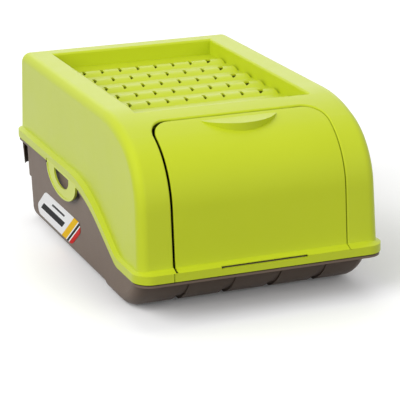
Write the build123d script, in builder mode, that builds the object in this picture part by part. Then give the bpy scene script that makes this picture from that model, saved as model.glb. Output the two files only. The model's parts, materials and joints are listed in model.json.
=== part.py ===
from build123d import *
import os
from math import cos, hypot, radians, sin, tan

os.makedirs("parts", exist_ok=True)

# Sizes in millimetres. Origin in the middle of the footprint on the floor, +Z up, front toward -Y.
WIDTH = 290.0  # over the hood skirt
DEPTH = 448.0
HEIGHT = 206.5
HALF_W = WIDTH / 2
HALF_D = DEPTH / 2
WALL = 2.2  # all moulded walls
PLAY = 0.3  # clearance between pieces that move past each other
SAME = 0.01  # two skins closer than this are one
REACH = WIDTH + DEPTH  # longer than anything, for cuts that run right through

# Rim line: the bottom edge of the skirt seen from the side, high at the rear and low at the front.
RIM_REAR = 102.0
RIM_FRONT = 49.0
RIM_BEND_Y = 9.3
RIM_SLOPE = 26.0
RIM_CREST_R = 230.0
RIM_TOE_R = 30.0

# Skirt and the sloping ledge above it.
CORNER_R = 20.0
SKIRT_H = 12.9
LEDGE_RISE = 3.5
LEDGE_RUN = 8.9

# Hood body above the ledge. The nose and crown arcs turn the front into the flat top.
LEDGE_SIDE = 5.0
SIDE_DRAFT = 3.5
BODY_HALF_FOOT = HALF_W - LEDGE_SIDE
BODY_HALF_TOP = BODY_HALF_FOOT - SIDE_DRAFT
LEDGE_REAR = 2.4
REAR_DRAFT = 3.1
BODY_REAR_FOOT = HALF_D - LEDGE_REAR
BODY_REAR_TOP = BODY_REAR_FOOT - REAR_DRAFT
FRONT_LEAN = 5.0
NOSE_DROP = 82.4
NOSE_Z = HEIGHT - NOSE_DROP
NOSE_R = 80.8
NOSE_END = 22.7
EDGE_R = 11.0
REAR_EDGE_R = EDGE_R + WALL

# Recess in the top with its cross ridges and vents.
SIDE_BAND = 34.0
FRONT_BAND = 116.9
REAR_BAND = 31.0
RECESS_HALF_W = BODY_HALF_TOP - SIDE_BAND
RECESS_FRONT = FRONT_BAND - HALF_D
RECESS_REAR = BODY_REAR_TOP - REAR_BAND
RECESS_DEPTH = 19.3
RECESS_EDGE_R = 3.0
RIDGE_PITCH = 40.7
RIDGE_FROM_REAR = 52.6
RIDGE_LAST_Y = RECESS_REAR - RIDGE_FROM_REAR
RIDGE_H = 5.6
RIDGE_END_GAP = 2.6
RIDGE_HALF_W = RECESS_HALF_W - RIDGE_END_GAP
RIDGE_REAR_RUN = 25.0
RIDGE_FRONT_RUN = 4.5
RIDGE_ROOM = RIDGE_LAST_Y - RIDGE_FRONT_RUN - RECESS_FRONT
RIDGE_COUNT = int(RIDGE_ROOM / RIDGE_PITCH) + 1
RIDGE_CREST = 5.5
RIDGE_END_R = 4.0
RIDGE_CREST_R = 18.0
VENT_ROWS = RIDGE_COUNT - 1
VENT_PITCH = 22.85
VENT_X = 1.6
VENT_BACK = 8.5
VENT_MARGIN = 5.0
VENT_COLUMNS = int(2 * (RIDGE_HALF_W - VENT_MARGIN) / VENT_PITCH)
VENT_LONG = 18.4
VENT_WIDE = 7.0

# Flap in the curved front, hinged along the outer corner of the ledge.
HINGE_Y = -HALF_D
HINGE_Z = RIM_FRONT + SKIRT_H - LEDGE_RISE
SEAM_DROP = 6.6
SEAM_BACK = 86.6
FLAP_REACH = hypot(SEAM_BACK, HEIGHT - SEAM_DROP - HINGE_Z)
FLAP_CORNER_R = 22.0
FLAP_SWEEP = 100.0
OPENING_SIDE = 43.4
OPENING_HALF_W = HALF_W - OPENING_SIDE
OPENING_GAP = 1.5
OPENING_EDGE_R = 1.8
FLAP_EDGE_R = 0.6
STOP_T = 1.4
STOP_GAP = 0.8
STOP_REACH = 5.0
STOP_ROOT = 5.0
STOP_BITE = 0.4
FLAP_GAP_LEFT = 2.6
FLAP_GAP_RIGHT = 1.0
FLAP_LEFT = FLAP_GAP_LEFT - OPENING_HALF_W
FLAP_RIGHT = OPENING_HALF_W - FLAP_GAP_RIGHT
HINGE_SLOT_HALF = 50.3
HINGE_SLOT_H = 1.9
HINGE_SLOT_DEEP = 2.4

# Crescent grip on the flap.
GRIP_HALF_W = 46.0
GRIP_X = 3.0
GRIP_BACK = 83.0
GRIP_SAG = 27.5
GRIP_DROP = 8.5
GRIP_REAR = GRIP_BACK - HALF_D
GRIP_FRONT = GRIP_REAR - GRIP_SAG
GRIP_TOP = HEIGHT - GRIP_DROP
GRIP_H = 18.0
GRIP_DRAFT = 9.0

# Strip below the flap, clipped over a bar of the hood.
STRIP_T = 1.8
STRIP_OVER = 1.7
STRIP_RIGHT = OPENING_HALF_W + STRIP_OVER
STRIP_LEFT = -STRIP_RIGHT
STRIP_END_GAP = 0.8
STRIP_FIT = 0.08
LIP_GAP = 2.0
LIP_INSET = WALL + LIP_GAP
BAR_GAP = 0.6
BAR_T = LIP_INSET - BAR_GAP - STRIP_T - STRIP_FIT
BAR_DROP = 2.2
BAR_LEG = 8.0
HOOK_T = 1.2
CATCH_LONG = 12.0
CATCH_T = 1.2
CATCH_PITCH = 27.0
CATCH_X = 78.0

# Tray rim: flange under the ledge, lip behind the skirt, bead showing below the skirt.
FLANGE_GAP = 0.4
LEDGE_LOW = SKIRT_H - WALL - LEDGE_RISE * (1 - (LIP_INSET - WALL) / LEDGE_RUN)
FLANGE_LIFT = LEDGE_LOW - FLANGE_GAP
FLANGE_T = 2.4
LIP_T = 2.6
BEAD_OUT = 3.0
BEAD_INSET = LIP_INSET - BEAD_OUT
BEAD_TOP = -1.5
BEAD_LOW = -4.0

# Tray walls.
FRONT_OVERHANG = 16.0
REAR_OVERHANG = 19.0
TRAY_FRONT = HALF_D - FRONT_OVERHANG
TRAY_REAR_RIM = HALF_D - REAR_OVERHANG
TRAY_REAR_DRAFT = 2.0
TRAY_REAR_FOOT = TRAY_REAR_RIM - TRAY_REAR_DRAFT
SCOOP_R = 75.0
TRAY_EDGE_R = 14.0
HEEL_R = TRAY_EDGE_R + WALL
TRAY_SIDE = LIP_INSET + WALL
UPPER_DRAFT = 3.2
UPPER_HALF_RIM = HALF_W - TRAY_SIDE
UPPER_HALF_FOOT = UPPER_HALF_RIM - UPPER_DRAFT
CREASE_DROP = 46.5
CREASE_Z = RIM_REAR - CREASE_DROP
CREASE_STEP = 2.1
LOWER_DRAFT = 2.0
LOWER_HALF_CREASE = UPPER_HALF_FOOT + UPPER_DRAFT * CREASE_Z / RIM_REAR - CREASE_STEP
LOWER_HALF_FOOT = LOWER_HALF_CREASE - LOWER_DRAFT
CREASE_BACK = 47.3
CREASE_BEND_Y = RIM_BEND_Y - CREASE_BACK
CREASE_SLOPE = 80.0
CREASE_R = 52.0
CHANNEL_COUNT = 4
CHANNEL_PITCH = 54.0
CHANNEL_W = 36.0
CHANNEL_H = 5.0
CHANNEL_SIDE = 13.0
CHANNEL_TIP = 8.0

# Grip apron: the lip drawn down along the rear and round both rear corners.
APRON_DROP = 36.0
APRON_Z = RIM_REAR - APRON_DROP
APRON_TOP = RIM_REAR + (BEAD_TOP + BEAD_LOW) / 2
APRON_DRAFT = 4.0
APRON_ROUND = 4.5
APRON_FROM_Y = HALF_D - CORNER_R + APRON_ROUND

# Swing loops in notches of the skirt.
LOOP_FROM_BEND = 27.7
LOOP_Y = RIM_BEND_Y + LOOP_FROM_BEND
LOOP_TILT = 1.0
LOOP_LIFT = 0.5
LOOP_Z = RIM_REAR + LOOP_LIFT
LOOP_HALF = 54.6
LOOP_DROP = 30.9
LOOP_SHOULDER = 3.4
LOOP_T = 2.0
LOOP_FACE = 1.4
LOOP_BEAD_T = 0.7
LOOP_BEAD_W = 2.4
LOOP_X = HALF_W - LOOP_FACE - LOOP_BEAD_T
BAR_R = 1.6
LOOP_HOLE_HALF = 27.0
LOOP_HOLE_DROP = 19.0
PIN_R = 1.0
PIN_FIT = 0.05
PIN_LONG = 2.8
NOTCH_END = 0.8
NOTCH_GAP = 0.4
NOTCH_TOP = BAR_R + NOTCH_GAP
BOSS_LONG = PIN_LONG + WALL
BOSS_LOW = 2.4
BOSS_TOP = 2.6
BOSS_GAP = 0.4
BOSS_T = LOOP_X - HALF_W + LIP_INSET - BOSS_GAP
BOSS_BITE = 0.6
BEAD_CLEAR = LOOP_HALF + NOTCH_END + BOSS_LONG + NOTCH_END

# Printed plate on the left wall.
LABEL_SLANT = 54.0
LABEL_FROM_REAR = 17.0
LABEL_FROM_BEND = 20.0
LABEL_REAR = TRAY_REAR_FOOT - LABEL_FROM_REAR - LABEL_SLANT
LABEL_LONG = LABEL_REAR - CREASE_BEND_Y - LABEL_FROM_BEND
LABEL_DOWN = 5.0
LABEL_TALL = 37.5
LABEL_TOP = CREASE_Z - LABEL_DOWN
LABEL_LOW = LABEL_TOP - LABEL_TALL
LABEL_T = 0.5
LABEL_R = 8.0
LABEL_BLUNT_R = 24.0
LABEL_GAP = 0.02

HINGE = Axis((0, HINGE_Y, HINGE_Z), (1, 0, 0))


def side_region(rear_z, bend_y, crest_r, slope, toe_r, front_z):
    """Side view region above an S-shaped line that drops from rear_z to front_z."""
    turn = radians(slope)
    drop = rear_z - front_z - (crest_r + toe_r) * (1 - cos(turn))
    with BuildSketch(Plane.YZ) as region:
        with BuildLine():
            back = Line((REACH, rear_z), (bend_y, rear_z))
            crest = JernArc(back @ 1, (-1, 0), crest_r, slope)
            fall = Line(crest @ 1, crest @ 1 + (crest % 1) * (drop / sin(turn)))
            toe = JernArc(fall @ 1, fall % 1, toe_r, -slope)
            front = Line(toe @ 1, (-REACH, front_z))
            Polyline(front @ 1, (-REACH, REACH), (REACH, REACH), back @ 0)
        make_face()
    return region.sketch


def above_rim(lift):
    """Side view region above the rim line raised by lift."""
    return side_region(
        RIM_REAR + lift, RIM_BEND_Y, RIM_CREST_R, RIM_SLOPE, RIM_TOE_R, RIM_FRONT + lift
    )


def above_crease(lift):
    """Side view region above the crease of the tray walls raised by lift."""
    return side_region(
        CREASE_Z + lift, CREASE_BEND_Y, CREASE_R, CREASE_SLOPE, CREASE_R, lift - CREASE_Z
    )


def rim_layer(inset, low, high):
    """Plan outline of the skirt moved in by inset, between two lifts of the rim line."""
    with BuildPart() as layer:
        with BuildSketch():
            RectangleRounded(WIDTH - 2 * inset, DEPTH - 2 * inset, CORNER_R - inset)
        extrude(amount=HEIGHT)
        extrude(above_rim(low), amount=WIDTH, both=True, mode=Mode.INTERSECT)
        extrude(above_rim(high), amount=WIDTH, both=True, mode=Mode.SUBTRACT)
    return layer.part


def ledge_layer(inset, low, high):
    """Skirt layer with its sloping ledge."""
    with BuildPart() as layer:
        add(rim_layer(inset, low, high))
        front = layer.faces().sort_by(Axis.Y)[0]
        edge = front.edges().sort_by(Axis.Z)[-1]
        chamfer(edge, length=LEDGE_RISE, length2=LEDGE_RUN, reference=front)
    return layer.part


def flared(half_low, half_high, z_high, inset):
    """Front view outline of a body whose sides lean from half_low at the floor to half_high."""
    lean = (half_high - half_low) / z_high
    low = half_low - inset
    high = half_low + lean * REACH - inset
    with BuildSketch(Plane.XZ) as outline:
        with BuildLine():
            Polyline((-low, 0), (low, 0), (high, REACH), (-high, REACH), close=True)
        make_face()
    return outline.sketch


def hood_body(inset):
    """Hood above the ledge as a solid, all faces moved in by inset."""
    foot_z = RIM_FRONT + SKIRT_H
    foot_y = LEDGE_RUN - HALF_D - foot_z * tan(radians(FRONT_LEAN))
    spread = SIDE_DRAFT / (HEIGHT - foot_z)
    with BuildPart() as body:
        with BuildSketch(Plane.YZ) as profile:
            with BuildLine():
                foot = Line((foot_y, 0), (foot_y + NOSE_Z * tan(radians(FRONT_LEAN)), NOSE_Z))
                nose = JernArc(foot @ 1, foot % 1, NOSE_R, NOSE_END + FRONT_LEAN - 90)
                crown_r = (HEIGHT - (nose @ 1).Y) / (1 - cos(radians(NOSE_END)))
                crown = JernArc(nose @ 1, nose % 1, crown_r, -NOSE_END)
                Polyline(crown @ 1, (BODY_REAR_TOP, HEIGHT), (BODY_REAR_FOOT, 0), foot @ 0)
            make_face()
            fillet(profile.vertices().sort_by_distance((HALF_D, REACH))[0], REAR_EDGE_R)
            offset(amount=-inset, kind=Kind.INTERSECTION)
        extrude(amount=WIDTH, both=True)
        half_floor = BODY_HALF_FOOT + spread * foot_z
        extrude(
            flared(half_floor, BODY_HALF_TOP, HEIGHT, inset),
            amount=REACH,
            both=True,
            mode=Mode.INTERSECT,
        )
        sides = body.edges().filter_by(lambda e: abs(e.center().X) > HALF_W / 2)
        fillet(sides.filter_by(lambda e: e.center().Z > foot_z / 2), EDGE_R - inset)
    return body.part


def flap_sector(left, right, reach):
    """Space swept about the hinge by the flap outline."""
    with BuildPart() as sector:
        with BuildSketch(Plane((0, HINGE_Y, HINGE_Z))) as outline:
            with BuildLine():
                Polyline((left, 0), (right, 0), (right, reach), (left, reach), close=True)
            make_face()
            fillet(outline.vertices().group_by(Axis.Y)[-1], FLAP_CORNER_R)
        revolve(axis=HINGE, revolution_arc=FLAP_SWEEP)
    return sector.part


def recess_block(half_w, front, rear, low):
    """Box that runs from the height low up through the top of the hood."""
    with BuildPart() as block:
        with BuildSketch(Plane.XY.offset(low)):
            with Locations((0, (front + rear) / 2)):
                Rectangle(2 * half_w, rear - front)
        extrude(amount=HEIGHT)
    return block.part


def ridges(shrink):
    """The cross ridges of the recess floor, all faces moved in by shrink."""
    floor = HEIGHT - RECESS_DEPTH
    half = RIDGE_HALF_W - shrink
    with BuildPart() as rows:
        with BuildSketch(Plane.YZ):
            for row in range(RIDGE_COUNT):
                y = RIDGE_LAST_Y - row * RIDGE_PITCH
                with BuildLine():
                    rear = y + RIDGE_REAR_RUN - shrink
                    front = y - RIDGE_FRONT_RUN + shrink / 2
                    root = floor - WALL - shrink
                    crest = (y + RIDGE_CREST, floor + RIDGE_H - shrink)
                    Polyline((rear, root), (rear, floor - shrink), crest, (front, floor - shrink))
                    Polyline((front, floor - shrink), (front, root), (rear, root))
                make_face()
        extrude(amount=half, both=True)
        fillet(rows.edges().filter_by(Axis.X).group_by(Axis.Z)[-1], RIDGE_CREST_R - shrink)
        with BuildSketch(Plane.XZ) as ends:
            with Locations((0, floor + RIDGE_H - shrink)):
                Rectangle(2 * half, 2 * RECESS_DEPTH, align=(Align.CENTER, Align.MAX))
            fillet(ends.vertices().group_by(Axis.Y)[-1], RIDGE_END_R - shrink / 2)
        extrude(amount=REACH, both=True, mode=Mode.INTERSECT)
    return rows.part


def tray_profile(inset, raised):
    """Side view of the tray with its bottom raised, all edges moved in by inset."""
    lean = TRAY_REAR_DRAFT / RIM_REAR
    heel = (TRAY_REAR_FOOT + lean * raised, raised)
    with BuildSketch(Plane.YZ) as profile:
        with BuildLine():
            wall = Line((-TRAY_FRONT, REACH), (-TRAY_FRONT, SCOOP_R))
            scoop = JernArc(wall @ 1, (0, -1), SCOOP_R - raised, 90)
            Polyline(scoop @ 1, heel, (TRAY_REAR_FOOT + lean * REACH, REACH), wall @ 0)
        make_face()
        fillet(profile.vertices().sort_by_distance(heel)[0], HEEL_R)
        offset(amount=-inset, kind=Kind.INTERSECTION)
    return profile.sketch


def tray_flanks(inset, half_low, half_high, z_high):
    """Tray as a solid with one lean of the side walls, all faces moved in by inset."""
    with BuildPart() as flanks:
        extrude(tray_profile(inset, 0), amount=WIDTH, both=True)
        outline = flared(half_low, half_high, z_high, inset)
        extrude(outline, amount=REACH, both=True, mode=Mode.INTERSECT)
        sides = flanks.edges().filter_by(lambda e: abs(e.center().X) > HALF_W / 2)
        fillet(sides.filter_by(lambda e: e.center().Z < REACH - HEIGHT), TRAY_EDGE_R - inset)
    return flanks.part


def channels(inset):
    """Room of the channels under the bottom, which fade out up the scooped front."""
    with BuildPart() as room:
        with BuildSketch(Plane.XZ):
            wide = CHANNEL_W / 2 + inset
            top = CHANNEL_H + inset
            for number in range(CHANNEL_COUNT):
                x = (number - (CHANNEL_COUNT - 1) / 2) * CHANNEL_PITCH
                with BuildLine():
                    Polyline(
                        (x - wide - top, -top),
                        (x + wide + top, -top),
                        (x + wide - CHANNEL_SIDE, top),
                        (x + CHANNEL_TIP / 2 + inset, SCOOP_R),
                        (x - CHANNEL_TIP / 2 - inset, SCOOP_R),
                        (x - wide + CHANNEL_SIDE, top),
                        close=True,
                    )
                make_face()
        extrude(amount=REACH, both=True)
        extrude(tray_profile(inset, CHANNEL_H), amount=WIDTH, both=True, mode=Mode.SUBTRACT)
    return room.part


def tray_body(inset):
    """Tray as a solid: upper walls above the crease, recessed panels and channels below it."""
    upper = tray_flanks(inset, UPPER_HALF_FOOT, UPPER_HALF_RIM, RIM_REAR)
    lower = tray_flanks(inset, LOWER_HALF_FOOT, LOWER_HALF_CREASE, CREASE_Z)
    with BuildPart() as low:
        add(lower)
        extrude(above_crease(inset), amount=WIDTH, both=True, mode=Mode.SUBTRACT)
    with BuildPart() as body:
        add(upper)
        extrude(above_crease(inset), amount=WIDTH, both=True, mode=Mode.INTERSECT)
        add(low.part)
        add(channels(inset), mode=Mode.SUBTRACT)
    return body.part


def loop_plane(along):
    """Plane across the left loop's axis line, its normal along the axis."""
    tilt = radians(LOOP_TILT)
    run = (0, cos(tilt), sin(tilt))
    at = (-LOOP_X, LOOP_Y + along * cos(tilt), LOOP_Z + along * sin(tilt))
    return Plane(at, x_dir=(-1, 0, 0), z_dir=run)


def loop_face_plane(out):
    """Plane parallel to the loop plate, moved outward by out; local x runs along the axis."""
    tilt = radians(LOOP_TILT)
    return Plane((-LOOP_X - out, LOOP_Y, LOOP_Z), x_dir=(0, cos(tilt), sin(tilt)), z_dir=(1, 0, 0))


# Hood
solid_hood = hood_body(0)
cavity = hood_body(WALL)
with BuildPart() as hood_shell:
    add(solid_hood)
    lift = SKIRT_H - WALL
    extrude(above_rim(lift), amount=WIDTH, both=True, mode=Mode.INTERSECT)
    add(ledge_layer(0, 0, SKIRT_H))
    add(cavity, mode=Mode.SUBTRACT)
    add(ledge_layer(WALL, -RIM_FRONT, lift), mode=Mode.SUBTRACT)

flap_zone = flap_sector(-OPENING_HALF_W, OPENING_HALF_W, FLAP_REACH + OPENING_GAP)
floor_z = HEIGHT - RECESS_DEPTH
bar_rear = STRIP_T + STRIP_FIT + BAR_T - HALF_D
bar_top = HINGE_Z - BAR_DROP
bar_low = RIM_FRONT + HOOK_T + STRIP_FIT

recess_room = recess_block(RECESS_HALF_W, RECESS_FRONT, RECESS_REAR, floor_z)
recess_outer = recess_block(
    RECESS_HALF_W + WALL, RECESS_FRONT - WALL, RECESS_REAR + WALL, floor_z - WALL
)

with BuildPart() as recess:
    add(solid_hood)
    add(recess_outer, mode=Mode.INTERSECT)
    add(recess_room, mode=Mode.SUBTRACT)
    add(ridges(0))
    add(ridges(WALL), mode=Mode.SUBTRACT)
    with BuildSketch(Plane.XY.offset(floor_z - 2 * WALL)):
        chord_r = (VENT_LONG**2 / 4 + VENT_WIDE**2) / (2 * VENT_WIDE)
        middle = RIDGE_LAST_Y + VENT_BACK - (VENT_ROWS - 1) * RIDGE_PITCH / 2
        with Locations((VENT_X, middle)):
            with GridLocations(VENT_PITCH, RIDGE_PITCH, VENT_COLUMNS, VENT_ROWS):
                with Locations((VENT_WIDE / 2 - chord_r, 0)):
                    Circle(chord_r)
        with Locations((VENT_X, middle)):
            with GridLocations(VENT_PITCH, RIDGE_PITCH, VENT_COLUMNS, VENT_ROWS):
                with Locations((-VENT_WIDE / 2, 0)):
                    cover = (Align.MAX, Align.CENTER)
                    Rectangle(2 * chord_r, 2 * chord_r, align=cover, mode=Mode.SUBTRACT)
    extrude(amount=4 * WALL + RIDGE_H, mode=Mode.SUBTRACT)

with BuildPart() as bosses:
    for end in (-1, 1):
        with BuildSketch(loop_plane(end * (LOOP_HALF + NOTCH_END + BOSS_LONG / 2))):
            with Locations((-BOSS_T, -BOSS_LOW)):
                Rectangle(BOSS_T + BOSS_BITE, BOSS_LOW + BOSS_TOP, align=(Align.MIN, Align.MIN))
        extrude(amount=BOSS_LONG / 2, both=True)

with BuildPart() as notch:
    with BuildSketch(loop_face_plane(HALF_W - LOOP_X + WALL)):
        with Locations((0, NOTCH_TOP)):
            mouth = (Align.CENTER, Align.MAX)
            Rectangle(2 * (LOOP_HALF + NOTCH_END), LOOP_DROP, align=mouth)
    extrude(amount=3 * WALL)
    with BuildSketch(loop_plane(0)):
        Circle(PIN_R + PIN_FIT)
    extrude(amount=LOOP_HALF + PIN_LONG + PLAY, both=True)

# Stop behind the top edge of the flap
with BuildPart() as stop:
    add(hood_body(WALL - STOP_BITE))
    add(hood_body(WALL + STOP_GAP + STOP_T), mode=Mode.SUBTRACT)
    root = FLAP_REACH + OPENING_GAP + STOP_ROOT
    add(
        flap_sector(FLAP_CORNER_R - OPENING_HALF_W, OPENING_HALF_W - FLAP_CORNER_R, root),
        mode=Mode.INTERSECT,
    )
    tip = FLAP_REACH - STOP_REACH
    add(flap_sector(-OPENING_HALF_W, OPENING_HALF_W, tip), mode=Mode.SUBTRACT)

with BuildPart() as flap_room:
    add(flap_zone)
    add(hood_body(WALL + STOP_GAP), mode=Mode.SUBTRACT)

skin = solid_hood.shell()
zone_wall = flap_zone.shell()
recess_wall = recess_room.shell()


def on_both(edge, first, second):
    """True for an edge that runs along both skins above the ledge."""
    middle = Vertex(*edge.position_at(0.5))
    above = middle.Z > HINGE_Z + WALL + LEDGE_RISE
    return above and first.distance_to(middle) < SAME and second.distance_to(middle) < SAME


with BuildPart() as hood:
    add(hood_shell.part)
    add(recess_room, mode=Mode.SUBTRACT)
    add(recess.part)
    # Rounded edges of the recess and of the front opening
    fillet(hood.edges().filter_by(lambda e: on_both(e, skin, recess_wall)), RECESS_EDGE_R)
    add(flap_zone, mode=Mode.SUBTRACT)
    fillet(hood.edges().filter_by(lambda e: on_both(e, skin, zone_wall)), OPENING_EDGE_R)
    add(stop.part)
    add(flap_room.part, mode=Mode.SUBTRACT)
    # Seat of the strip, and the room under the flap's ledge
    with BuildSketch(Plane.XY.offset(RIM_FRONT - WALL)):
        left = STRIP_LEFT - STRIP_END_GAP
        right = STRIP_RIGHT + STRIP_FIT
        with Locations(((left + right) / 2, -HALF_D)):
            Rectangle(right - left, 2 * WALL)
    extrude(amount=WALL + HINGE_Z - RIM_FRONT, mode=Mode.SUBTRACT)
    with BuildSketch(Plane.XY.offset(bar_top)):
        with Locations((0, WALL - HALF_D)):
            Rectangle(2 * OPENING_HALF_W, LEDGE_RUN, align=(Align.CENTER, Align.MIN))
    extrude(amount=BAR_DROP, mode=Mode.SUBTRACT)
    # Bar behind the strip, with thicker ends that join the skirt
    with BuildSketch(Plane.XY.offset(bar_low)):
        with Locations((0, bar_rear)):
            long = 2 * (STRIP_RIGHT + BAR_LEG)
            Rectangle(long, BAR_T, align=(Align.CENTER, Align.MAX))
        with Locations((-STRIP_RIGHT - BAR_LEG, bar_rear), (STRIP_RIGHT + BAR_LEG, bar_rear)):
            Rectangle(BAR_LEG, BAR_T + WALL / 2, align=(Align.CENTER, Align.MAX))
    extrude(amount=bar_top - bar_low)
    add(bosses.part)
    mirror(bosses.part, about=Plane.YZ)
    add(notch.part, mode=Mode.SUBTRACT)
    mirror(notch.part, about=Plane.YZ, mode=Mode.SUBTRACT)
hood.part.label = "hood"
export_step(hood.part, "parts/hood.step")


# Flap
def grip_body(inset):
    """Crescent block of the grip, all faces moved in by inset."""
    radius = (GRIP_HALF_W**2 + GRIP_SAG**2) / (2 * GRIP_SAG)
    with BuildPart() as grip:
        with BuildSketch(Plane.XY.offset(GRIP_TOP - inset)):
            with Locations((GRIP_X, GRIP_FRONT + radius)):
                Circle(radius - inset)
            with Locations((GRIP_X, GRIP_REAR - inset)):
                behind = (Align.CENTER, Align.MIN)
                Rectangle(2 * radius, 2 * radius, align=behind, mode=Mode.SUBTRACT)
        extrude(amount=-GRIP_H, taper=GRIP_DRAFT)
    return grip.part


with BuildPart() as hinge_slot:
    with BuildSketch(Plane.XY.offset(HINGE_Z - PLAY - HINGE_SLOT_H)):
        with Locations((0, -HALF_D)):
            Rectangle(2 * HINGE_SLOT_HALF, 2 * HINGE_SLOT_DEEP)
    extrude(amount=PLAY + 2 * HINGE_SLOT_H)

with BuildPart() as lip:
    add(grip_body(0))
    add(cavity, mode=Mode.SUBTRACT)

with BuildPart() as front_flap:
    add(hood_shell.part)
    flap_shape = flap_sector(FLAP_LEFT, FLAP_RIGHT, FLAP_REACH)
    add(flap_shape, mode=Mode.INTERSECT)
    flap_wall = flap_shape.shell()
    fillet(front_flap.edges().filter_by(lambda e: on_both(e, skin, flap_wall)), FLAP_EDGE_R)
    add(lip.part)
    add(grip_body(WALL), mode=Mode.SUBTRACT)
    add(hinge_slot.part, mode=Mode.SUBTRACT)
front_flap.part.label = "front_flap"
export_step(front_flap.part, "parts/front_flap.step")

# Strip below the flap
with BuildPart() as flap_strip:
    with BuildSketch(Plane.YZ.offset(STRIP_LEFT)):
        with BuildLine():
            face = -HALF_D
            back = STRIP_T - HALF_D
            Polyline(
                (face, RIM_FRONT),
                (bar_rear, RIM_FRONT),
                (bar_rear, RIM_FRONT + HOOK_T),
                (back, RIM_FRONT + HOOK_T),
                (back, HINGE_Z - PLAY),
                (face, HINGE_Z - PLAY),
                close=True,
            )
        make_face()
    extrude(amount=STRIP_RIGHT - STRIP_LEFT)
    with BuildSketch(Plane.XY.offset(bar_top + STRIP_FIT)):
        with Locations((-CATCH_X, STRIP_T / 2 - HALF_D), (CATCH_X, STRIP_T / 2 - HALF_D)):
            with GridLocations(CATCH_PITCH, 1, 2, 1):
                behind = (Align.CENTER, Align.MIN)
                Rectangle(CATCH_LONG, STRIP_T / 2 + BAR_T, align=behind)
    extrude(amount=CATCH_T)
    add(hinge_slot.part, mode=Mode.SUBTRACT)
flap_strip.part.label = "flap_strip"
export_step(flap_strip.part, "parts/flap_strip.step")


# Swing loops
def loop_outline(shrink):
    """D-shaped outline of the loop, moved in by shrink."""
    half = LOOP_HALF - shrink
    with BuildSketch() as outline:
        with Locations((0, -LOOP_SHOULDER)):
            Ellipse(half, LOOP_DROP - LOOP_SHOULDER - shrink)
        above = (Align.CENTER, Align.MIN)
        Rectangle(2 * LOOP_HALF, LOOP_DROP, align=above, mode=Mode.SUBTRACT)
        with Locations((0, -LOOP_SHOULDER)):
            Rectangle(2 * half, LOOP_SHOULDER, align=above)
    return outline.sketch


with BuildPart() as pull_loop_left:
    with BuildSketch(loop_face_plane(LOOP_FACE)):
        add(loop_outline(0))
        with Locations((0, -BAR_R - LOOP_SHOULDER)):
            drop = LOOP_HOLE_DROP - BAR_R - LOOP_SHOULDER
            Ellipse(LOOP_HOLE_HALF, drop, mode=Mode.SUBTRACT)
            above = (Align.CENTER, Align.MIN)
            Rectangle(2 * LOOP_HOLE_HALF, LOOP_SHOULDER, align=above, mode=Mode.SUBTRACT)
        with Locations((0, -BAR_R)):
            Rectangle(2 * LOOP_HOLE_HALF, BAR_R, align=above)
    extrude(amount=LOOP_T)
    with BuildSketch(loop_face_plane(LOOP_FACE + LOOP_BEAD_T)):
        add(loop_outline(0))
        add(loop_outline(LOOP_BEAD_W), mode=Mode.SUBTRACT)
        with Locations((0, -LOOP_SHOULDER)):
            Rectangle(2 * LOOP_HALF, LOOP_DROP, align=above, mode=Mode.SUBTRACT)
    extrude(amount=LOOP_BEAD_T + LOOP_T / 2)
    with BuildSketch(loop_plane(0)):
        Circle(BAR_R)
    extrude(amount=LOOP_HALF, both=True)
    with BuildSketch(loop_plane(0)):
        Circle(PIN_R)
    extrude(amount=LOOP_HALF + PIN_LONG, both=True)
pull_loop_left.part.label = "pull_loop_left"
export_step(pull_loop_left.part, "parts/pull_loop_left.step")

with BuildPart() as pull_loop_right:
    mirror(pull_loop_left.part, about=Plane.YZ)
pull_loop_right.part.label = "pull_loop_right"
export_step(pull_loop_right.part, "parts/pull_loop_right.step")

# Tray
with BuildPart() as bead:
    add(rim_layer(BEAD_INSET, BEAD_LOW, BEAD_TOP))
    # The bead stops behind the loops
    with BuildSketch(loop_face_plane(HALF_W - LOOP_X)):
        Rectangle(2 * BEAD_CLEAR, 2 * LOOP_DROP)
    extrude(amount=LIP_INSET, mode=Mode.SUBTRACT)
    with BuildSketch(loop_face_plane(-HALF_W - LOOP_X)):
        Rectangle(2 * BEAD_CLEAR, 2 * LOOP_DROP)
    extrude(amount=-LIP_INSET, mode=Mode.SUBTRACT)

with BuildPart() as apron:
    for inset, mode in ((LIP_INSET, Mode.ADD), (LIP_INSET + LIP_T, Mode.SUBTRACT)):
        with BuildSketch(Plane.XY.offset(APRON_TOP)):
            RectangleRounded(WIDTH - 2 * inset, DEPTH - 2 * inset, CORNER_R - inset)
        extrude(amount=APRON_Z - APRON_TOP, taper=APRON_DRAFT, mode=mode)
    with BuildSketch(Plane.XY.offset(APRON_Z)):
        with Locations((0, APRON_FROM_Y)):
            Rectangle(WIDTH, DEPTH, align=(Align.CENTER, Align.MIN))
    extrude(amount=HEIGHT, mode=Mode.INTERSECT)

with BuildPart() as walls:
    add(tray_body(0))
    extrude(above_rim(FLANGE_LIFT), amount=WIDTH, both=True, mode=Mode.SUBTRACT)

with BuildPart() as base_tray:
    add(rim_layer(LIP_INSET, BEAD_LOW, FLANGE_LIFT))
    add(bead.part)
    add(apron.part)
    hollow = rim_layer(LIP_INSET + LIP_T, -RIM_FRONT, FLANGE_LIFT - FLANGE_T)
    add(hollow, mode=Mode.SUBTRACT)
    add(walls.part)
    add(tray_body(WALL), mode=Mode.SUBTRACT)
base_tray.part.label = "base_tray"
export_step(base_tray.part, "parts/base_tray.step")

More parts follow.
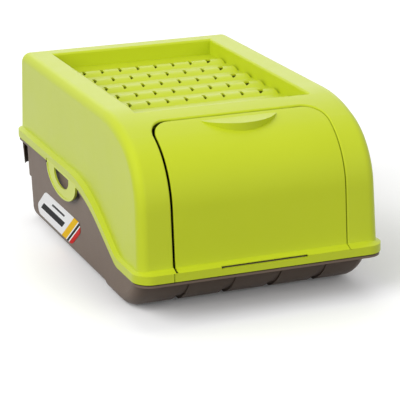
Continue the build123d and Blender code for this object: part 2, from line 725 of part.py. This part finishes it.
# Printed plate on the recessed panel of the left wall
tilt = LOWER_DRAFT / CREASE_Z
with BuildPart() as side_label:
    outward = Plane((-LOWER_HALF_FOOT - LABEL_GAP, 0, 0), x_dir=(0, -1, 0), z_dir=(-1, 0, -tilt))
    with BuildSketch(outward) as plate:
        with BuildLine():
            Polyline(
                (-LABEL_REAR, LABEL_TOP),
                (-LABEL_REAR - LABEL_SLANT, LABEL_LOW),
                (LABEL_LONG - LABEL_REAR - LABEL_SLANT, LABEL_LOW),
                (LABEL_LONG - LABEL_REAR, LABEL_TOP),
                close=True,
            )
        make_face()
        fillet(plate.vertices().sort_by(Axis.X)[1:3], LABEL_BLUNT_R)
        corners = plate.vertices().sort_by(Axis.X)
        fillet([corners[0], corners[-1]], LABEL_R)
    extrude(amount=LABEL_T)
side_label.part.label = "side_label"
export_step(side_label.part, "parts/side_label.step")
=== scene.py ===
import json
import math

import bpy
from mathutils import Matrix, Vector


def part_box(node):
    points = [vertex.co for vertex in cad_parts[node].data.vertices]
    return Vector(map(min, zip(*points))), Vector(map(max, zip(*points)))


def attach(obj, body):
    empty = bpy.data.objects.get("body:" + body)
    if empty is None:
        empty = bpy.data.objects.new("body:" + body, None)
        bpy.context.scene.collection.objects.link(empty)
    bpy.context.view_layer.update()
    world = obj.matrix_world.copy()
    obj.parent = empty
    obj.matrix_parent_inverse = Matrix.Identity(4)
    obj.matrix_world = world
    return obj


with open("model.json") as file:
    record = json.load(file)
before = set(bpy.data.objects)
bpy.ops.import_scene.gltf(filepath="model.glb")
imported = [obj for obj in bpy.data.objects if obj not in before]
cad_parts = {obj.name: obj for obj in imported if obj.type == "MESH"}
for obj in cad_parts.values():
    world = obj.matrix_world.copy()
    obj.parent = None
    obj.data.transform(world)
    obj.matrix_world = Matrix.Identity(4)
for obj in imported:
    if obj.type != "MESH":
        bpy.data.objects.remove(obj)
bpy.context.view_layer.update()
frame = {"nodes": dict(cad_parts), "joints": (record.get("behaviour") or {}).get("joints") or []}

# ---------------------------------------------------------------------------------------------
# Tray: the brown lower half, one large moulding in brown-grey polypropylene with a fine
# spark-eroded grain. It comes out of the tool bare, and its rolled rim and corrugated bottom
# are part of the same shot.


class Value:
    """A socket in a tree of nodes. Arithmetic on it adds Math nodes."""

    def __init__(self, nodes, socket):
        self.nodes = nodes
        self.socket = socket

    def math(self, operation, other):
        return self.nodes.node("ShaderNodeMath", {"operation": operation}, {0: self, 1: other})

    def turned(self, operation, other):
        return self.nodes.node("ShaderNodeMath", {"operation": operation}, {0: other, 1: self})

    def __add__(self, other):
        return self.math("ADD", other)

    def __radd__(self, other):
        return self.turned("ADD", other)

    def __sub__(self, other):
        return self.math("SUBTRACT", other)

    def __rsub__(self, other):
        return self.turned("SUBTRACT", other)

    def __mul__(self, other):
        return self.math("MULTIPLY", other)

    def __rmul__(self, other):
        return self.turned("MULTIPLY", other)

    def __truediv__(self, other):
        return self.math("DIVIDE", other)

    def __gt__(self, other):
        return self.math("GREATER_THAN", other)

    def __lt__(self, other):
        return self.math("LESS_THAN", other)


class Nodes:
    """The tree of nodes of a material or of the world."""

    def __init__(self, tree):
        self.tree = tree

    def feed(self, socket, value):
        if isinstance(value, Value):
            self.tree.links.new(value.socket, socket)
        else:
            socket.default_value = value

    def node(self, kind, settings=None, values=None, out=0):
        new = self.tree.nodes.new(kind)
        for key, value in (settings or {}).items():
            setattr(new, key, value)
        for key, value in (values or {}).items():
            self.feed(new.inputs[key], value)
        return Value(self, new.outputs[out])


class Finish(Nodes):
    """A material, its Principled shader and the pattern coordinates of the piece."""

    def __init__(self, name, **fixed):
        self.material = bpy.data.materials.new(name)
        self.material.use_nodes = True
        super().__init__(self.material.node_tree)
        self.shader = self.tree.nodes["Principled BSDF"]
        for socket, value in fixed.items():
            self.shader.inputs[socket.replace("_", " ")].default_value = value
        self.place = self.node("ShaderNodeTexCoord", out="Object")

    def coat(self, node):
        """Give the finish to a piece of the frame."""
        frame["nodes"][node].data.materials.clear()
        frame["nodes"][node].data.materials.append(self.material)

    def noise(self, scale, detail=2.0, roughness=0.5):
        values = {"Vector": self.place, "Scale": scale, "Detail": detail, "Roughness": roughness}
        return self.node("ShaderNodeTexNoise", None, values)

    def blend(self, factor, first, second):
        values = {0: factor, 6: first, 7: second}
        return self.node("ShaderNodeMix", {"data_type": "RGBA"}, values, out=2)

    def part(self, axis):
        return self.node("ShaderNodeSeparateXYZ", None, {0: self.place}, out=axis)

    def near(self, point, radius, soft):
        """1 inside a ball about point, 0 outside it, with a soft edge."""
        gap = self.node(
            "ShaderNodeVectorMath", {"operation": "DISTANCE"}, {0: self.place, 1: point}, out=1
        )
        values = {"Value": gap, "From Min": radius + soft, "From Max": radius}
        return self.node("ShaderNodeMapRange", {"interpolation_type": "SMOOTHSTEP"}, values)

    def bump(self, height, strength, distance):
        values = {"Height": height, "Strength": strength, "Distance": distance}
        return self.node("ShaderNodeBump", None, values)

    def wear(self, socket, value):
        self.feed(self.shader.inputs[socket], value)


def moulded(name, light, dark, grain, gloss, shine):
    """Moulded polypropylene: cloudy colour, fine grain, slightly uneven gloss."""
    finish = Finish(name, Specular_IOR_Level=shine, IOR=1.49)
    cloud = finish.noise(9.0, 3.0, 0.55)
    speck = finish.noise(grain, 2.0, 0.6)
    swirl = finish.noise(38.0, 4.0, 0.6)
    finish.wear("Base Color", finish.blend(cloud * 0.7 + speck * 0.3, dark, light))
    finish.wear("Roughness", gloss + (swirl - 0.5) * 0.1 + (speck - 0.5) * 0.08)
    return finish, speck, swirl


brown, brown_speck, brown_swirl = moulded(
    "brown_polypropylene",
    light=(0.190, 0.140, 0.108, 1.0),
    dark=(0.148, 0.108, 0.082, 1.0),
    grain=1400.0,
    gloss=0.44,
    shine=0.14,
)
brown.wear("Normal", brown.bump(brown_speck + brown_swirl * 0.6, 0.35, 0.0002))
brown.coat("base_tray")

# ---------------------------------------------------------------------------------------------
# Hood: the green cover with its skirt, ledge and vented recess, one polypropylene moulding with
# a satin skin. The injection point left a small ring mark in the middle of the band between the
# recess and the flap.

green_light = (0.535, 0.620, 0.022, 1.0)
green_dark = (0.478, 0.562, 0.015, 1.0)
green_grain = 1600.0
green, green_speck, green_swirl = moulded(
    "green_polypropylene",
    light=green_light,
    dark=green_dark,
    grain=green_grain,
    gloss=0.34,
    shine=0.36,
)
band_mark = Vector((-0.011, -0.1225, 0.2034))
ring_outer, ring_inner = 0.0016, 0.0009
ring = green.near(band_mark, ring_outer, 0.0006) - green.near(band_mark, ring_inner, 0.0005)
grain_depth = 0.00018
skin = green_speck + green_swirl * 0.5 + ring * 4.0
green.wear("Normal", green.bump(skin, 0.25, grain_depth))
green.coat("hood")
green.coat("flap_strip")

# ---------------------------------------------------------------------------------------------
# Flap: the curved panel in the front of the hood, moulded in the same green material with its
# crescent grip. Its own injection point shows as a faint oval mark on top of the grip.

flap_green, flap_speck, flap_swirl = moulded(
    "green_polypropylene_flap",
    light=green_light,
    dark=green_dark,
    grain=green_grain,
    gloss=0.36,
    shine=0.3,
)
grip_mark = Vector((0.001, -0.154, 0.198))
dimple = flap_green.near(grip_mark, 0.0014, 0.0008)
skin = flap_speck + flap_swirl * 0.5 - dimple * 3.0
flap_green.wear("Normal", flap_green.bump(skin, 0.25, grain_depth))
flap_green.coat("front_flap")

# ---------------------------------------------------------------------------------------------
# Swing loops: two thin green D-shaped pull loops hung in the skirt, moulded apart from the hood
# in a slightly paler batch of the same plastic, with a polished bead round the edge.

loop_green, loop_speck, loop_swirl = moulded(
    "green_polypropylene_loops",
    light=(0.61, 0.69, 0.050, 1.0),
    dark=(0.55, 0.63, 0.038, 1.0),
    grain=1900.0,
    gloss=0.32,
    shine=0.4,
)
loop_green.wear("Normal", loop_green.bump(loop_speck + loop_swirl * 0.4, 0.2, 0.00015))
loop_green.coat("pull_loop_left")
loop_green.coat("pull_loop_right")

# ---------------------------------------------------------------------------------------------
# Printed plate on the left wall: a thin white film with a dull face, printed with two plain rules
# and three separate colour bars. It is stuck flat on the recessed panel of the tray.

plate_low, plate_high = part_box("side_label")
plate_rear = 0.132  # top rear corner, before its rounding
plate_long = 0.150
plate_slant = 0.054  # how far the rear end leans backwards from top to bottom
plate_tall = plate_high.z - plate_low.z

print_film = Finish("printed_film", Roughness=0.5, Specular_IOR_Level=0.05)
down = (plate_high.z - print_film.part(2)) / plate_tall
along = (plate_rear + down * plate_slant - print_film.part(1)) / plate_long


def stripe(value, low, high):
    """1 where the value lies between low and high, else 0."""
    return (value > low) * (value < high)


paper, paper_cloud = (0.98, 0.98, 0.98, 1.0), (0.95, 0.95, 0.95, 1.0)
black, grey = (0.004, 0.004, 0.005, 1.0), (0.03, 0.03, 0.033, 1.0)
amber, red = (0.92, 0.55, 0.004, 1.0), (0.62, 0.012, 0.01, 1.0)
past_top, past_bottom = -1.0, 2.0
fibre = print_film.noise(420.0, 3.0)
tint = print_film.blend(fibre, paper, paper_cloud)
for rear, front, top, bottom, ink in (
    (0.10, 0.66, 0.46, 0.72, black),
    (0.26, 0.58, 0.20, 0.29, grey),
    (0.74, 0.85, past_top, past_bottom, amber),
    (0.87, 0.91, past_top, past_bottom, black),
    (0.93, 1.2, past_top, past_bottom, red),
):
    mask = stripe(along, rear, front) * stripe(down, top, bottom)
    tint = print_film.blend(mask, tint, ink)
print_film.wear("Base Color", tint)
print_film.wear("Normal", print_film.bump(fibre, 0.08, 0.00005))
print_film.coat("side_label")

# ---------------------------------------------------------------------------------------------
# Film hinge: the thin webs of the same plastic that join the flap's ledge to the strip below it,
# left and right of the long slot. A web is a rounded fold one millimetre across.

hinge = next(j for j in frame["joints"] if j["name"] == "flap_hinge")
hinge_y, hinge_z = hinge["pos_m"][1], hinge["pos_m"][2]
web_radius = 0.0005
web_out = 1.3 * web_radius  # from the hinge axis towards the rear
slot_end = 0.0508  # half the length of the long slot, with a little room
ledge_left, ledge_right = -0.0985, 0.1
for side, start, end in (("left", ledge_left, -slot_end), ("right", slot_end, ledge_right)):
    bpy.ops.object.select_all(action="DESELECT")
    bpy.ops.mesh.primitive_cylinder_add(
        vertices=24,
        radius=web_radius,
        depth=end - start,
        end_fill_type="NGON",
        location=((start + end) / 2, hinge_y + web_out, hinge_z - web_radius / 2),
        rotation=(0, math.pi / 2, 0),
    )
    web = bpy.context.active_object
    web.name = "hinge_web_" + side
    bpy.ops.object.transform_apply(location=True, rotation=True, scale=True)
    bpy.ops.object.mode_set(mode="EDIT")
    bpy.ops.mesh.select_all(action="DESELECT")
    bpy.ops.mesh.select_mode(type="FACE")
    bpy.ops.object.mode_set(mode="OBJECT")
    for face in web.data.polygons:
        face.select = abs(face.normal.x) > 0.9
    bpy.ops.object.mode_set(mode="EDIT")
    bpy.ops.mesh.bevel(offset=web_radius / 3, segments=2, affect="EDGES")
    bpy.ops.object.mode_set(mode="OBJECT")
    bpy.ops.object.shade_smooth_by_angle(angle=math.radians(50))
    web.data.materials.append(flap_green.material)
    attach(web, "hood")

# ---------------------------------------------------------------------------------------------
# Studio: a white sweep under and behind the bin. It shows as plain white to the camera and in
# reflections away from the bin, keeps the soft shadow under the bin, deepened there by a painted
# shadow in its glow, and throws little light back at it.


def shown(nodes):
    """1 for a ray from the camera, off gloss or through glass, else 0."""
    kinds = ("Is Camera Ray", "Is Glossy Ray", "Is Transmission Ray")
    camera_ray, glossy_ray, through_ray = (
        nodes.node("ShaderNodeLightPath", out=kind) for kind in kinds
    )
    return camera_ray.math("MAXIMUM", glossy_ray).math("MAXIMUM", through_ray)


bpy.ops.object.select_all(action="DESELECT")
bpy.ops.mesh.primitive_plane_add(size=14.0, location=(0, 0, 0))
floor = bpy.context.active_object
floor.name = "studio_floor"
bpy.ops.object.transform_apply(location=True, rotation=True, scale=True)
sweep = Finish("studio_white", Roughness=0.9, Specular_IOR_Level=0.1)
plain_white = (1.0, 1.0, 1.0, 1.0)
# Painted shadow: the floor's glow fades from white to dark grey round the bin, deepening the
# shadow under it.
painted_shadow_middle, painted_shadow_radius, painted_shadow_soft = Vector((0.03, -0.1, 0.0)), 0.14, 0.2
painted_shadow = sweep.near(painted_shadow_middle, painted_shadow_radius, painted_shadow_soft)
sweep.wear("Base Color", (0.96, 0.96, 0.96, 1.0))
sweep.wear("Emission Color", sweep.blend(painted_shadow, plain_white, (0.15, 0.15, 0.15, 1.0)))
sweep.wear("Emission Strength", 0.2)
dull = sweep.node("ShaderNodeBsdfDiffuse", None, {"Color": (0.1, 0.1, 0.1, 1.0)})
paint = Value(sweep, sweep.shader.outputs[0])
lit = sweep.node("ShaderNodeMixShader", None, {0: shown(sweep), 1: dull, 2: paint})
sweep.feed(sweep.tree.nodes["Material Output"].inputs["Surface"], lit)
floor.data.materials.append(sweep.material)

world = bpy.data.worlds.new("studio_world")
bpy.context.scene.world = world
world.use_nodes = True
sky = Nodes(world.node_tree)
sky.tree.nodes.clear()
ambient = sky.node("ShaderNodeBackground", None, {"Color": plain_white, "Strength": 0.35})
white = sky.node("ShaderNodeBackground", None, {"Color": plain_white, "Strength": 1.0})
mixed = sky.node("ShaderNodeMixShader", None, {0: shown(sky), 1: ambient, 2: white})
sky_end = sky.tree.nodes.new("ShaderNodeOutputWorld")
sky.feed(sky_end.inputs["Surface"], mixed)

# ---------------------------------------------------------------------------------------------
# Lamps: four square softboxes round the bin. The key stands at the left, the others fill the
# front, the top and the back, and only the one at the back shows in the gloss.


def softbox(name, place, size, power, mirrored):
    """A square diffused lamp that looks at the bin, and shows in its gloss where mirrored."""
    lamp = bpy.data.lights.new(name, "AREA")
    lamp.shape = "SQUARE"
    lamp.size = size
    lamp.energy = power
    holder = bpy.data.objects.new(name, lamp)
    bpy.context.scene.collection.objects.link(holder)
    holder.location = place
    holder.rotation_euler = (bin_middle - Vector(place)).to_track_quat("-Z", "Y").to_euler()
    holder.visible_glossy = mirrored


bin_middle = Vector((0, 0, 0.1))
softbox("key_softbox", (-3.1, -1.1, 2.3), 3.2, 134.0, mirrored=False)
softbox("fill_softbox", (0.9, -2.8, 1.4), 2.0, 37.0, mirrored=False)
softbox("top_softbox", (0.3, 0.9, 2.5), 2.0, 13.0, mirrored=False)
softbox("back_softbox", (1.0, 2.8, 1.6), 2.6, 12.0, mirrored=True)

# ---------------------------------------------------------------------------------------------
# Camera: a long lens at the photograph's angle, its frame shifted slightly to one side.

azimuth, elevation, roll = (math.radians(v) for v in (-21.15, 17.57, -0.54))
back = Vector(
    (
        math.sin(azimuth) * math.cos(elevation),
        -math.cos(azimuth) * math.cos(elevation),
        math.sin(elevation),
    )
)
right = Vector((math.cos(azimuth), math.sin(azimuth), 0))
up = back.cross(right)
across = right * math.cos(roll) + up * math.sin(roll)
upward = up * math.cos(roll) - right * math.sin(roll)
lens = bpy.data.cameras.new("photo_camera")
lens.sensor_width = 36.0
lens.lens = 170.06
lens.shift_x = 0.0317
lens.clip_end = 50.0
camera = bpy.data.objects.new("photo_camera", lens)
bpy.context.scene.collection.objects.link(camera)
turn = Matrix((across, upward, back)).transposed().to_4x4()
camera.matrix_world = Matrix.Translation((-0.76405, -1.96937, 0.7306)) @ turn
bpy.context.scene.camera = camera
bpy.context.scene.view_settings.view_transform = "Standard"
